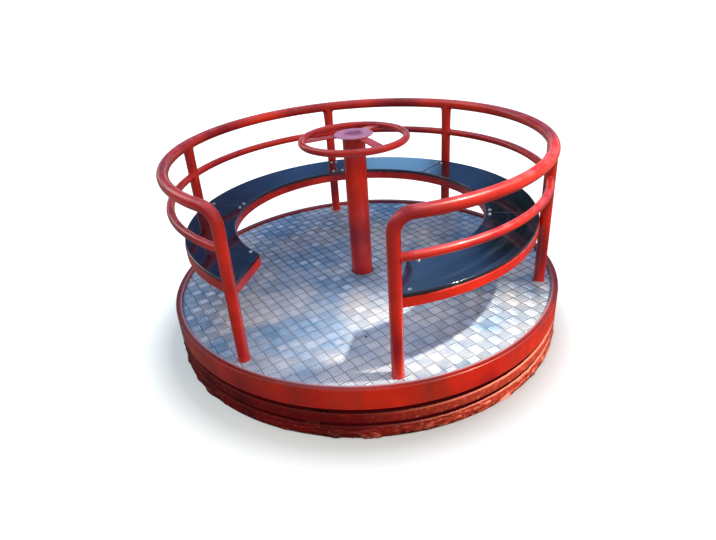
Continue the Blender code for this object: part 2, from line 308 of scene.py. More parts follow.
def tube(path, radius, sides, loop=False):
    """A round tube along a path that runs about the axis."""
    return sweep(path, circle(radius, sides), radial(path), loop)


def build(name, *shapes):
    """One mesh object from its shapes."""
    points, faces = [], []
    for shape_points, shape_faces in shapes:
        start = len(points)
        points += [tuple(p) for p in shape_points]
        faces += [tuple(start + i for i in face) for face in shape_faces]
    mesh = bpy.data.meshes.new(name)
    mesh.from_pydata(points, [], faces)
    bm = bmesh.new()
    bm.from_mesh(mesh)
    bmesh.ops.recalc_face_normals(bm, faces=bm.faces)
    bm.to_mesh(mesh)
    bm.free()
    return link_object(name, mesh)


def dress(obj, body, slot, material, *replaced, sharp_angle=38):
    """Give a new piece its shading, material, body and the CAD nodes that it stands for."""
    obj.data.shade_smooth()
    obj.data.set_sharp_from_angle(angle=math.radians(sharp_angle))
    obj.data.materials.append(material)
    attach(obj, body)
    if replaced:
        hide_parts(*replaced)


def paint_nodes(names, material):
    """Give carried-over CAD nodes a finish through their material slots."""
    for name in names:
        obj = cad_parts[name]
        if not obj.material_slots:
            raise RuntimeError(f"{name} has no material slot")
        for slot in obj.material_slots:
            slot.material = material


# Materials

def feed(tree, socket, value):
    """Link a node or one of its outputs to a socket, or set the socket's own value."""
    if isinstance(value, bpy.types.Node):
        value = next(output for output in value.outputs if output.enabled)
    if isinstance(value, bpy.types.NodeSocket):
        tree.links.new(value, socket)
    elif socket.type == "RGBA":
        socket.default_value = (*value, 1.0)
    else:
        socket.default_value = value


def node(tree, kind, *values, stops=(), **named):
    """Add a shader node with its settings, ramp stops, and values or links.

    Plain values fill the inputs that are in use, in order. A name with a capital is an
    input, such as From_Min, and one without is a setting, such as operation.
    """
    made = tree.nodes.new("ShaderNode" + kind)
    for name, value in named.items():
        if name[0].islower():
            setattr(made, name, value)
    for i, (position, value) in enumerate(stops):
        elements = made.color_ramp.elements
        stop = elements[i] if i < len(elements) else elements.new(position)
        stop.position = position
        stop.color = (value, value, value, 1.0) if isinstance(value, float) else (*value, 1.0)
    for socket, value in zip([socket for socket in made.inputs if socket.enabled], values):
        feed(tree, socket, value)
    for name, value in named.items():
        if name[0].isupper():
            feed(tree, made.inputs[name.replace("_", " ")], value)
    return made


def finish(material, **inputs):
    """Set or link the inputs of a material's shader."""
    tree = material.node_tree
    for name, value in inputs.items():
        feed(tree, tree.nodes["Principled BSDF"].inputs[name.replace("_", " ")], value)
    return material


def start_material(name, **inputs):
    """A new material, what adds nodes to it, and the piece's own coordinates."""
    material = bpy.data.materials.new(name)
    material.use_nodes = True
    add = functools.partial(node, material.node_tree)
    return finish(material, **inputs), add, add("TexCoord").outputs["Object"]


def facing_up(add):
    """1 where a face looks straight up, 0 on a wall."""
    return add("SeparateXYZ", add("NewGeometry").outputs["Normal"]).outputs["Z"]


def from_axis(add, place):
    """The distance from the turning axis."""
    flat = add("VectorMath", place, LEVEL, operation="MULTIPLY")
    return add("VectorMath", flat, operation="LENGTH")


def masked(add, under, over, *masks):
    """One colour over another, as far as several masks together let it show."""
    share = functools.reduce(lambda a, b: add("Math", a, b, operation="MULTIPLY"), masks)
    return add("Mix", share, under, over, data_type="RGBA")


def drifting(add, place, millimetres, first, second, low=0.35, high=0.65, **grain):
    """Two colours that drift into each other in clouds of this size."""
    drift = add("TexNoise", place, Scale=per_metre(millimetres), **grain)
    share = add("MapRange", drift, From_Min=low, From_Max=high)
    return add("Mix", share, first, second, data_type="RGBA")


def laid_over(add, under, over, pattern, *stops):
    """One colour over another where a pattern's ramp lets it show."""
    return add("Mix", add("ValToRGB", pattern, stops=stops), under, over, data_type="RGBA")


def sprayed_enamel_steel(paint):
    """Gloss enamel sprayed on steel tube and wiped by hands and weather for years."""
    # Sprayed enamel lies in a faint orange peel, so its highlights break up a little
    material, add, place = start_material(
        "sprayed_enamel_on_steel", IOR=1.45, Coat_Weight=0.3, Coat_Roughness=0.06)
    # Red drifts into deep red in broad clouds: partly the paint's own tone, partly a painted
    # dappled shade
    red = drifting(add, place, 260, paint.red_deep_and_shade, paint.red, Detail=3.0)
    # Upward faces are painted paler pink in blotches: partly sun-fade, partly a painted sheen of
    # the sky
    worn = add("TexNoise", place, Scale=per_metre(70), Detail=4.0)
    top = add("MapRange", facing_up(add), From_Min=0.4, From_Max=0.95, To_Max=0.6)
    blotch = add("MapRange", worn, From_Min=0.43, From_Max=0.6)
    faded_and_sheen = masked(add, red, paint.red_faded_and_sheen, top, blotch)
    # Small chips down to the dark primer
    speck = add("TexNoise", place, Scale=per_metre(11), Detail=2.0)
    chipped = laid_over(add, faded_and_sheen, paint.primer, speck, (0.85, 0.0), (0.87, 0.8))
    gloss = add("MapRange", worn, From_Min=0.3, From_Max=0.7, To_Min=0.26, To_Max=0.42)
    peel = add("TexNoise", place, Scale=per_metre(6), Detail=2.0)
    bump = add("Bump", Height=peel, Strength=0.1, Distance=0.0004)
    return finish(material, Base_Color=chipped, Roughness=gloss, Normal=bump)


def scuffed_enamel_band(paint):
    """Enamel on the rim band, scuffed by shoes and stained brown by rain from the deck."""
    # Scuffed enamel keeps only a broad soft shine, and its red is patched with brown
    material, add, place = start_material(
        "scuffed_enamel_on_rim_band", IOR=1.5, Coat_Weight=0.12, Coat_Roughness=0.16)
    red = drifting(add, place, 300, paint.red_deep_and_shade, paint.red, Detail=3.0)
    # Stains lie in broad clouds, drawn out a little down the band's height
    tall = add("Mapping", place, Scale=(1.0, 1.0, 0.35))
    streak = add("TexNoise", tall, Scale=per_metre(110), Detail=6.0, Roughness=0.62)
    stained = laid_over(add, red, paint.stain, streak, (0.46, 0.0), (0.68, 0.7))
    scuff = add("TexNoise", place, Scale=per_metre(16), Detail=6.0, Roughness=0.7)
    marked = laid_over(add, stained, paint.red_faded_and_sheen, scuff, (0.68, 0.0), (0.76, 0.4))
    chipped = laid_over(add, marked, paint.primer, scuff, (0.23, 0.9), (0.26, 0.0))
    # The top face is darkened towards the primer colour: a painted shade
    upward = add("MapRange", facing_up(add), From_Min=0.2, From_Max=0.7)
    top_painted_shade = masked(add, chipped, paint.primer, upward, 0.62)
    # Its inner edge is painted pale, most of all at the gateway: partly rubbed by feet, partly a
    # painted highlight along the edge
    spot = add("SeparateXYZ", place)
    flat = add("CombineXYZ", spot.outputs["X"], spot.outputs["Y"])
    inner = add("MapRange", add("VectorMath", flat, operation="LENGTH"),
                From_Min=EDGE_BAR_IN + 0.011, From_Max=EDGE_BAR_IN + 0.003, To_Max=0.9)
    gateway = add("MapRange", spot.outputs["Y"], From_Min=0.2, From_Max=-0.6, To_Min=0.12)
    rubbed = masked(add, top_painted_shade, paint.rubbed, upward, gateway, inner)
    gloss = add("MapRange", streak, From_Min=0.3, From_Max=0.75, To_Min=0.24, To_Max=0.44)
    bump = add("Bump", Height=scuff, Strength=0.12, Distance=0.0008)
    return finish(material, Base_Color=rubbed, Roughness=gloss, Normal=bump)


def crusted_paint(name, paint, soil_height, crust_bump):
    """Many thick coats of paint over pitted steel, with soil caked on near the ground."""
    # Thick old paint has gone chalky, with pale scrapes and soil in its hollows, and painted
    # light on its sunny side and upper edges
    material, add, place = start_material(name, IOR=1.5, Specular_IOR_Level=0.16)
    red = drifting(add, place, 150, paint.ground_deep, paint.ground_red, Detail=5.0,
                   Roughness=0.6)
    crust = add("TexNoise", place, Scale=per_metre(17), Detail=8.0, Roughness=0.7)
    # The sunny side is painted a paler salmon in broken patches: partly sun-bleaching, partly
    # painted light on that side
    south = add("VectorMath", place, (0.94, -0.34, 0.0), operation="DOT_PRODUCT")
    sunny = add("MapRange", south, From_Min=0.4, From_Max=0.78)
    flaky = add("MapRange", crust, From_Min=0.42, From_Max=0.6, To_Min=0.5, To_Max=0.95)
    sunlit_patches = masked(add, red, paint.ground_sunlit_salmon, sunny, flaky)
    # Soil fades out with height above the ground
    height = add("SeparateXYZ", place).outputs["Z"]
    low = add("MapRange", height, From_Max=soil_height, To_Min=0.17, To_Max=-0.2)
    near = add("Math", crust, low, operation="SUBTRACT")
    soiled = laid_over(add, sunlit_patches, paint.soil, near, (0.33, 0.95), (0.42, 0.0))
    # Clods that stand proud of the ring are soil as well
    proud = add("MapRange", from_axis(add, place), From_Min=RIM_R + 0.0012,
                From_Max=RIM_R + 0.005, To_Max=0.45)
    shown = add("Mix", proud, soiled, paint.soil, data_type="RGBA")
    # Scrapes and rubbed upper edges show pale, painted stronger on the sunny side as painted
    # light; the pale upper edges are partly a painted highlight
    scrape = add("ValToRGB", crust, stops=((0.58, 0.0), (0.68, 0.8)))
    edges = add("ValToRGB", facing_up(add), stops=((0.12, 0.0), (0.5, 0.9), (1.0, 0.8)))
    for marks, shade, sun in ((scrape, 0.14, 1.0), (edges, 0.1, 0.85)):
        strength = add("MapRange", sunny, To_Min=shade, To_Max=sun)
        shown = masked(add, shown, paint.ground_pale_and_highlight, marks, strength)
    gloss = add("MapRange", crust, From_Min=0.3, From_Max=0.6, To_Min=0.75, To_Max=0.4)
    grit = add("TexVoronoi", place, Scale=per_metre(9))
    rough = add("Math", crust, grit, operation="ADD")
    bump = add("Bump", Height=rough, Strength=crust_bump, Distance=0.003)
    return finish(material, Base_Color=shown, Roughness=gloss, Normal=bump)


def rolled_aluminium(name, deck, polish, tone_with_recess_shade):
    """Mill-finish aluminium chequer plate; feet have polished it and rain has left film."""
    # Each patch of bars is painted its own tone, partly a painted reflection of how it catches
    # the light, over a cool grey whose blue is partly a painted sky reflection
    material, add, place = start_material(name)
    cloud = add("TexNoise", place, Scale=per_metre(260), Detail=4.0, Roughness=0.55)
    # The patches lie at 45 degrees to the frame's axes
    turn = add("Mapping", place, Rotation=(0.0, 0.0, math.radians(-45)))
    grid = add("VectorMath", turn, 1 / deck.cell, operation="SCALE")
    middle_up = add("VectorMath", grid, (0.5, 0.5, 0.5), operation="ADD")
    cell = add("VectorMath", middle_up, operation="FLOOR")
    flat = add("VectorMath", cell, LEVEL, operation="MULTIPLY")
    lot = add("TexWhiteNoise", flat, noise_dimensions="3D")
    # Every second patch is painted a different tone: a painted reflection of bars rolled the
    # other way
    order = add("VectorMath", flat, LEVEL, operation="DOT_PRODUCT")
    other_way_sheen = add("Math", order, 1.0, operation="PINGPONG")
    patch_tone_and_sheen = add("Mix", 0.3, lot, other_way_sheen, data_type="FLOAT")
    # Patch tones vary more and the dark lines between patches grow darker towards the back:
    # partly feet keep the gateway cleaner and more even, partly painted shade
    towards_back = add("MapRange", add("SeparateXYZ", place).outputs["Y"], From_Min=-0.5,
                 From_Max=0.1, To_Min=0.44, To_Max=0.9)
    uneven = add("Mix", towards_back, 1.0, patch_tone_and_sheen, data_type="FLOAT")
    shade = add("MapRange", uneven, To_Min=0.6 * tone_with_recess_shade, To_Max=tone_with_recess_shade)
    share = add("MapRange", cloud, From_Min=0.38, From_Max=0.62)
    # The middle of some patches is painted bright: partly polished by soles, partly a painted
    # highlight
    part = add("VectorMath", middle_up, operation="FRACTION")
    off = add("VectorMath", part, (0.5, 0.5, 0.5), operation="SUBTRACT")
    away = add("SeparateXYZ", add("VectorMath", off, operation="ABSOLUTE"))
    nearest = add("Math", away.outputs["X"], away.outputs["Y"], operation="MAXIMUM")
    inmost = add("MapRange", nearest, From_Min=0.44, From_Max=0.2)
    highlit_patches = add("MapRange", patch_tone_and_sheen, From_Min=0.4, To_Max=0.8)
    centre_highlight = add("Math", inmost, highlit_patches, operation="MULTIPLY")
    clear = add("Math", share, centre_highlight, operation="MAXIMUM")
    tone = add("Mix", clear, deck.metal_dull_sky_tint, deck.metal, data_type="RGBA")
    patch = add("VectorMath", tone, shade, operation="SCALE")
    # Dark lines between patches: dirt, with a painted shade in the gaps
    edge = add("MapRange", nearest, From_Min=0.43, From_Max=0.478, To_Max=1 - 0.4 * polish)
    line = add("Math", edge, towards_back, operation="MULTIPLY")
    grime = add("TexNoise", place, Scale=per_metre(22), Detail=7.0, Roughness=0.7)
    spots = add("ValToRGB", grime, stops=((0.56, 0.0), (0.8, 0.6 - polish * 0.4)))
    dirt_and_gap_shade = add("Math", spots, line, operation="MAXIMUM")
    dirt_and_gap_shade_colour = add("Mix", dirt_and_gap_shade, patch, deck.grime, data_type="RGBA")
    # The film of dust and oxide isn't metallic
    film = add("MapRange", dirt_and_gap_shade, To_Min=0.3 + 0.42 * polish, To_Max=0.2)
    low = 0.52 - 0.16 * polish
    gloss = add("MapRange", grime, From_Min=0.3, From_Max=0.7, To_Min=low, To_Max=low + 0.14)
    bump = add("Bump", Height=grime, Strength=0.15, Distance=0.0005)
    return finish(material, Base_Color=dirt_and_gap_shade_colour, Metallic=film, Roughness=gloss, Normal=bump)


def lacquered_board(bench):
    """Black phenolic-faced board under clear lacquer, polished by riders."""
    # Lacquer over near-black gives mirror-like reflections; the navy haze that drifts over the
    # black is partly weathering, partly a painted navy sheen
    material, add, place = start_material(
        "lacquered_black_board", IOR=1.5, Coat_Weight=0.85, Coat_Roughness=0.05)
    # Riders slide along the ring, so smears run round it and not across
    spot = add("SeparateXYZ", place)
    turn = add("Math", spot.outputs["Y"], spot.outputs["X"], operation="ARCTAN2")
    round_it = add("CombineXYZ", turn, from_axis(add, place))
    drawn = add("Mapping", round_it, Scale=(0.09, 1.0, 1.0))
    smear = add("TexNoise", drawn, Scale=per_metre(24), Detail=6.0, Roughness=0.7)
    base = drifting(add, place, 260, bench.board, bench.board_haze_and_sheen, low=0.4, Detail=2.0)
    smeared = laid_over(add, base, bench.dust, smear, (0.5, 0.0), (0.75, 0.08))
    gloss = add("MapRange", smear, From_Min=0.35, From_Max=0.7, To_Min=0.1, To_Max=0.2)
    ripple = add("TexNoise", place, Scale=per_metre(120), Detail=1.0)
    bump = add("Bump", Height=ripple, Strength=0.06, Distance=0.002)
    return finish(material, Base_Color=smeared, Roughness=gloss, Normal=bump,
                  Coat_Normal=bump)


def worn_enamel_plate(paint):
    """Thin enamel on the hub plate, rubbed to a chalky pink by hands."""
    # The rubbed pigment is pale and matt, with red left in the middle and in streaks
    material, add, place = start_material("worn_enamel_on_hub_plate", IOR=1.5)
    rub = add("TexNoise", place, Scale=per_metre(28), Detail=6.0, Roughness=0.65)
    centre = add("MapRange", from_axis(add, place), From_Min=0.018, From_Max=0.046,
                 To_Min=0.62, To_Max=0.0)
    both = add("Math", centre, rub, operation="ADD")
    base = laid_over(add, paint.worn_pink, paint.worn_plum, both, (0.5, 0.0), (0.95, 0.9))
    gloss = add("MapRange", rub, To_Min=0.3, To_Max=0.6)
    bump = add("Bump", Height=rub, Strength=0.25, Distance=0.0006)
    return finish(material, Base_Color=base, Roughness=gloss, Normal=bump)


def primed_steel(paint):
    """Brush-primed steel under the platform, out of the sun, with rust blooms."""
    # Primer dries flat and dark, and rust shows in soft orange-brown patches
    material, add, place = start_material("primed_steel_underframe", IOR=1.5, Roughness=0.7)
    bloom = add("TexNoise", place, Scale=per_metre(45), Detail=7.0, Roughness=0.7)
    base = laid_over(add, paint.under, paint.rust, bloom, (0.52, 0.0), (0.68, 0.8))
    bump = add("Bump", Height=bloom, Strength=0.4, Distance=0.001)
    return finish(material, Base_Color=base, Normal=bump)


def zinc_plated_steel(bench):
    """Zinc-plated bolt heads."""
    # Zinc gives a cool bright metal with a fine grain in its highlights
    material, add, place = start_material("zinc_plated_steel", Metallic=1.0,
                                          Base_Color=bench.zinc)
    grain = add("TexNoise", place, Scale=per_metre(2), Detail=3.0)
    return finish(material, Roughness=add("MapRange", grain, To_Min=0.18, To_Max=0.42))


def painted_floor(stage):
    """A plain pale painted floor that shines a little to the camera alone, like a backdrop."""
    # Matt paint has no highlights; other rays meet it greyer, so the tubes' undersides stay dark
    material, add, place = start_material("painted_studio_floor", IOR=1.5, Roughness=0.9,
                                          Specular_IOR_Level=0.0)
    rays = add("LightPath")
    seen = rays.outputs["Is Camera Ray"]
    reach = add("VectorMath", place, operation="LENGTH")
    outside = add("Math", reach, RIM_R, operation="GREATER_THAN")
    open_floor = add("Math", outside, seen, operation="MULTIPLY")
    shown = add("Mix", open_floor, stage.floor_bounce, stage.floor, data_type="RGBA")
    # The floor inside the ground rings is painted dark as soil, a painted shade that keeps the
    # slots between them dark
    inside = add("Math", reach, RIM_R - 0.03, operation="LESS_THAN")
    ground = add("Mix", inside, shown, stage.soil, data_type="RGBA")
    # The floor's glow is dimmed near the foot, a painted shade that spreads furthest at the front
    # left
    lean = add("VectorMath", place, (0.045, 0.075, 0.0), operation="DOT_PRODUCT")
    from_foot = add("Math", reach, lean, operation="ADD")
    far = add("MapRange", from_foot, From_Min=RIM_R * 0.98, From_Max=RIM_R * 1.2,
              To_Min=stage.floor_glow * 0.25, To_Max=stage.floor_glow)
    glow = add("Math", far, open_floor, operation="MULTIPLY")
    # Reflections in the posts find the far floor pale as well
    pale = add("MapRange", reach, From_Min=1.2, From_Max=2.2, To_Max=0.15)
    mirrored = add("Math", pale, rays.outputs["Is Glossy Ray"], operation="MULTIPLY")
    both = add("Math", glow, mirrored, operation="ADD")
    # The soil inside glows a deep red to the camera alone, a painted glow of stray light through
    # the slots
    painted_stray_glow = add("Math", inside, seen, operation="MULTIPLY")
    strength = add("Math", both, painted_stray_glow, operation="ADD")
    glow_colour = add("Mix", inside, (1.0, 1.0, 1.0), stage.painted_stray_glow, data_type="RGBA")
    return finish(material, Base_Color=ground, Emission_Strength=strength,
                  Emission_Color=glow_colour)


def shared(context, name, make):
    """A painted finish that several operators share, made when first asked for."""
    return bpy.data.materials.get(name) or make(context.scene.roundabout_paint)


def red_enamel(context):
    return shared(context, "sprayed_enamel_on_steel", sprayed_enamel_steel)


def underframe_steel(context):
    return shared(context, "primed_steel_underframe", primed_steel)


# Settings

def tint(name, description, hexadecimal):
    """A colour that the user can change."""
    return FloatVectorProperty(name=name, description=description, subtype="COLOR", min=0,
                               max=1, default=colour(hexadecimal))


def length(name, description, default, least=0.001):
    """A length that the user can change."""
    return FloatProperty(name=name, description=description, subtype="DISTANCE",
                         unit="LENGTH", min=least, default=default)


class RoundaboutPaint(bpy.types.PropertyGroup):
    """Colours of the painted steel."""

    red: tint("Red", "Fresh enamel on the tubes", "D82A0A")
    # Also paints a dappled shade into the tubes' red
    red_deep_and_shade: tint("Deep red", "Shaded drift in the enamel", "8E0812")
    # Also a painted sheen on the tubes' upward faces
    red_faded_and_sheen: tint("Faded red", "Sun-faded and scuffed red", "CE5058")
    # Also paints a highlight along the rim band's inner edge
    rubbed: tint("Rubbed", "Paint rubbed pale by feet", "B0A0B0")
    primer: tint("Primer", "Primer in the chips", "3A1512")
    under: tint("Underside", "Dark red primer underneath", "5A0E10")
    stain: tint("Stain", "Brown rain streaks on the band", "6E2A1A")
    rust: tint("Rust", "Rust blooms underneath", "7A3A1C")
    ground_red: tint("Ground red", "Red of the ground rings", "7C0C0C")
    ground_deep: tint("Ground deep red", "Old dark coats", "560810")
    # Painted light on the rings' sunny side, partly sun-bleaching
    ground_sunlit_salmon: tint("Ground salmon", "Sun-bleached coats", "C4503C")
    # Also a painted highlight on the rings' upper edges
    ground_pale_and_highlight: tint("Scrapes", "Pale chalky scrapes", "DC9486")
    soil: tint("Soil", "Soil and moss in the hollows", "2C120C")
    worn_pink: tint("Worn pink", "Rubbed hub plate", "C887B0")
    worn_plum: tint("Worn plum", "Colour left on the plate", "8A3460")


class RoundaboutRail(bpy.types.PropertyGroup):
    """Sizes of the guard rail's tube ends and welds."""

    sides: IntProperty(name="Tube sides", description="Sides of each round tube",
                       min=12, max=64, default=28)
    cope_weld: length("Cope weld", "Radius of the bead under the rail", 0.0042)
    foot_weld: length("Foot weld", "Radius of the bead at the deck", 0.0013)
    mid_weld: length("Mid rail weld", "Radius of the mid rail's bead", 0.0030)


class RoundaboutDeck(bpy.types.PropertyGroup):
    """Pattern sizes and colours of the chequer plate."""

    cell: length("Cell", "Side of one patch of parallel bars", 0.0445, least=0.02)
    bars: IntProperty(name="Bars", description="Bars in one patch", min=2, max=8, default=5)
    bar_length: length("Bar length", "Length of one raised bar", 0.040, least=0.01)
    bar_width: length("Bar width", "Width of one raised bar", 0.0060)
    bar_height: length("Bar height", "Rise of the bars", 0.0007, least=0.0005)
    metal: tint("Metal", "Bright aluminium", "EAF0FA")
    # Its blue is partly a painted reflection of the sky
    metal_dull_sky_tint: tint("Dull metal", "Filmed aluminium", "8CB8E4")
    # Also the colour of the painted shade in the gaps between patches
    grime: tint("Grime", "Dirt on the plate", "26324A")


class RoundaboutBench(bpy.types.PropertyGroup):
    """Sizes and colours of the bench."""

    edge: length("Board edge", "Rounding of the boards' edges", 0.0045)
    bolt_r: length("Bolt head", "Radius of the domed bolt heads", 0.0058, least=0.002)
    board: tint("Board", "Near-black board", "080B14")
    # Partly a painted navy sheen
    board_haze_and_sheen: tint("Board haze", "Navy haze on the lacquer", "0C1830")
    dust: tint("Dust", "Dust on the boards", "7C8494")
    zinc: tint("Zinc", "Bolt heads", "D6D8DA")


class RoundaboutStage(bpy.types.PropertyGroup):
    """Studio floor, light and camera."""

    floor: tint("Floor", "Pale floor", "CCDADC")
    floor_bounce: tint("Floor bounce", "Light it throws up", "7C7C78")
    # A painted shade under the platform
    soil: tint("Soil", "Ground inside the rings", "3A120C")
    # A painted glow
    painted_stray_glow: tint("Stray light", "Red light among the slots", "340408")
    floor_glow: FloatProperty(name="Floor glow", description="Backdrop light of the floor",
                              min=0, default=0.78)
    key_power: FloatProperty(name="Key light", description="Power of the key light",
                             subtype="POWER", unit="POWER", min=0, default=3500.0)
    key_spread: FloatProperty(name="Key spread", description="Angle that the key light fills",
                              subtype="ANGLE", unit="ROTATION", min=0,
                              default=math.radians(3.0))
    sky_power: FloatProperty(name="Surround", description="Strength of the soft surround",
                             min=0, default=0.9)


# Guard rail

def rail_path():
    """The guard rail's middle line, from the left foot round the back to the right foot."""
    half = [(0.0, DECK_TOP - PIECE_GAP)]
    straight = RAIL_Z - BEND_R - DECK_TOP
    upright_steps = 6
    half += [(0.0, DECK_TOP + straight * i / upright_steps) for i in range(1, upright_steps)]
    bend_steps = 14
    for i in range(bend_steps + 1):
        turn = math.radians(90 * i / bend_steps)
        half.append((BEND_R * (1 - math.cos(turn)), RAIL_Z - BEND_R * (1 - math.sin(turn))))
    start = GATE_ANGLE - 90
    right = [polar(RAIL_R, start + math.degrees(d / RAIL_R), z) for d, z in half]
    left = [Vector((-p.x, p.y, p.z)) for p in right]
    first = start + math.degrees(BEND_R / RAIL_R)
    run = [polar(RAIL_R, first + (180 - 2 * first) * i / RING_STEPS, RAIL_Z)
           for i in range(1, RING_STEPS)]
    return right + run + left[::-1]


def bead(path, radius, sides, seed, swell=lambda point: 1.0):
    """A closed weld bead along a path, with the ripple and unevenness of hand welding."""
    scales = []
    for i, point in enumerate(path):
        ripple = 0.09 * math.sin(i * 2.1)
        wander = noise.noise(Vector((i * 0.21, seed * 7.3, 0.0)))
        scales.append((1.0 + ripple + 0.22 * wander) * swell(point))
    return sweep(path, circle(radius, WELD_SIDES), sides, loop=True, scales=scales)


def cope_height(across, beside):
    """The height of the rail's underside over a point beside a post's middle line."""
    off = math.hypot(RAIL_R + across, beside) - RAIL_R
    return RAIL_Z - math.sqrt(max(TUBE_R ** 2 - off ** 2, 0.0))


def post_shape(angle, sides):
    """An upright whose top is coped to sit under the rail."""
    foot, outward, along = polar(RAIL_R, angle), polar(1.0, angle), polar(1.0, angle + 90)
    around = circle(TUBE_R, sides)
    tops = [cope_height(a, b) for a, b in around]
    flare_from, flare_run, flare_by = 0.84, 0.16, 0.14
    rings = []
    for share in (0.0, 0.1, 0.3, 0.5, 0.7, flare_from, 0.89, 0.93, 0.965, 1.0):
        flare = 1.0 + flare_by * (max(0.0, share - flare_from) / flare_run) ** 2
        ring = []
        for (a, b), top in zip(around, tops):
            z = DECK_TOP - PIECE_GAP + (top - DECK_TOP) * share
            ring.append(foot + outward * a + along * b * flare + Vector((0, 0, z)))
        rings.append(ring)
    return skin(rings)


def cope_weld(angle, radius, seed):
    """The bead where a post meets the rail."""
    outward, along = polar(1.0, angle), polar(1.0, angle + 90)
    sunk, below, flare = 0.0006, 0.0012, 1.12
    path = []
    for a, b in circle(TUBE_R - sunk, WELD_STEPS):
        z = cope_height(a, b) - below
        path.append(polar(RAIL_R, angle, z) + outward * a + along * b * flare)

    def swell(point):
        # Thickest under the rail, and thin where it runs up the rail's two sides
        return 1.0 - 0.72 * max(0.0, 1.0 - (RAIL_Z - point.z) / TUBE_R)

    return bead(path, radius, UP, seed, swell)


def foot_weld(centre, radius, bead_r, z, seed):
    """A bead round the foot of an upright tube."""
    path = [centre + polar(radius, a, z) for a in once_round(WELD_STEPS)]
    return bead(path, bead_r, UP, seed)


def mid_weld(post_angle, sense, bead_r, seed):
    """The bead where the mid rail meets a post; sense is +1 on the post's far side."""
    path = []
    for a, b in circle(MID_TUBE_R, 40):
        reach = math.sqrt(TUBE_R ** 2 - a ** 2)
        turn = math.degrees(reach / RAIL_R) * sense
        path.append(polar(RAIL_R + a, post_angle + turn, MID_Z + b))
    return bead(path, bead_r, polar(1.0, post_angle + 90), seed)


def lug_shape(angle, z):
    """A rounded stub welded to a post's side just under the rail, facing the gateway."""
    way = polar(1.0, angle - 62)
    beside = way.cross(UP)
    sunk = 0.0012
    start = polar(RAIL_R, angle, z) + way * (TUBE_R - sunk)
    rings = []
    for radius, out in ((0.0085, 0.0), (0.0080, 0.0035), (0.0068, 0.0065), (0.0045, 0.0085),
                        (0.0015, 0.0093)):
        rings.append([start + way * out + UP * a + beside * b for a, b in circle(radius, 20)])
    return skin(rings)


class ROUNDABOUT_OT_guard_rail(bpy.types.Operator):
    """Build the guard rail, its posts, the mid rail and their welds"""

    bl_idname = "roundabout.guard_rail"
    bl_label = "Guard rail"

    def execute(self, context):
        rail = context.scene.roundabout_rail
        finish_as = ("platform", "red_paint", red_enamel(context))
        dress(build("guard_rail", tube(rail_path(), TUBE_R, rail.sides)), *finish_as,
              "guard_rail_left", "guard_rail_right")
        welds = []
        for i, (side, angle) in enumerate(POST_ANGLES.items()):
            post = build(f"rail_post_{side}", post_shape(angle, rail.sides))
            dress(post, *finish_as, f"post_{side}")
            welds.append(cope_weld(angle, rail.cope_weld, i))
        for name, start, end in zip(SPAN_NAMES, SPAN_STOPS, SPAN_STOPS[1:]):
            steps = round((end - start) / 2)
            path = [polar(RAIL_R, start + (end - start) * i / steps, MID_Z)
                    for i in range(steps + 1)]
            dress(build(f"mid_tube_{name}", tube(path, MID_TUBE_R, rail.sides)), *finish_as,
                  f"mid_rail_{name}")
            welds.append(mid_weld(start, 1, rail.mid_weld, start))
            welds.append(mid_weld(end, -1, rail.mid_weld, end))
        for seed, angle in enumerate(SPAN_STOPS, 20):
            welds.append(foot_weld(polar(RAIL_R, angle), TUBE_R, rail.foot_weld, DECK_TOP, seed))
        dress(build("rail_welds", *welds), *finish_as)
        dress(build("rail_lug", lug_shape(0, RAIL_Z - LUG_DROP)), *finish_as)
        return {"FINISHED"}


# Deck and rim

def lattice_bars(deck):
    """The middle, length and way of each raised bar, cut short at the plate's edges."""
    edge_r = EDGE_BAR_IN - RIM_CLEAR
    hole_r = COLUMN_R + COLUMN_CLEAR
    pitch = deck.cell / deck.bars
    reach = int(RIM_R / deck.cell) + 1
    cells = range(-reach, reach + 1)
    middles, lengths, ways = [], [], []
    for row, column, bar in itertools.product(cells, cells, range(deck.bars)):
        lengthwise = (row + column) % 2 == 0
        step = (bar - (deck.bars - 1) / 2) * pitch
        centre = Vector((column * deck.cell, row * deck.cell))
        centre += Vector((0.0, step)) if lengthwise else Vector((step, 0.0))
        along, across = centre if lengthwise else centre.yx
        if abs(across) >= edge_r:
            continue
        limit = math.sqrt(edge_r ** 2 - across ** 2)
        low = max(along - deck.bar_length / 2, -limit)
        high = min(along + deck.bar_length / 2, limit)
        if abs(across) < hole_r:
            inner = math.sqrt(hole_r ** 2 - across ** 2)
            if along >= 0:
                low = max(low, inner)
            else:
                high = min(high, -inner)
        if high - low < deck.bar_width:
            continue
        mid = (low + high) / 2
        middles.append((mid, across) if lengthwise else (across, mid))
        lengths.append(high - low)
        ways.append(lengthwise)
    return np.array(middles), np.array(lengths)[:, None], np.array(ways)[:, None]


def bar_template():
    """A bar of length and width 1 and rise 1: a pointed oval foot and a softer crown."""
    foot = [(0.5, 0.0), (0.40, 0.36), (0.0, 0.5), (-0.40, 0.36),
            (-0.5, 0.0), (-0.40, -0.36), (0.0, -0.5), (0.40, -0.36)]
    points = [(x, y, -0.1) for x, y in foot]
    points += [(x * 0.92, y * 0.4, 1.0) for x, y in foot]
    faces = [(k, (k + 1) % 8, 8 + (k + 1) % 8, 8 + k) for k in range(8)]
    faces += [tuple(reversed(range(8))), tuple(range(8, 16))]
    return np.array(points), faces


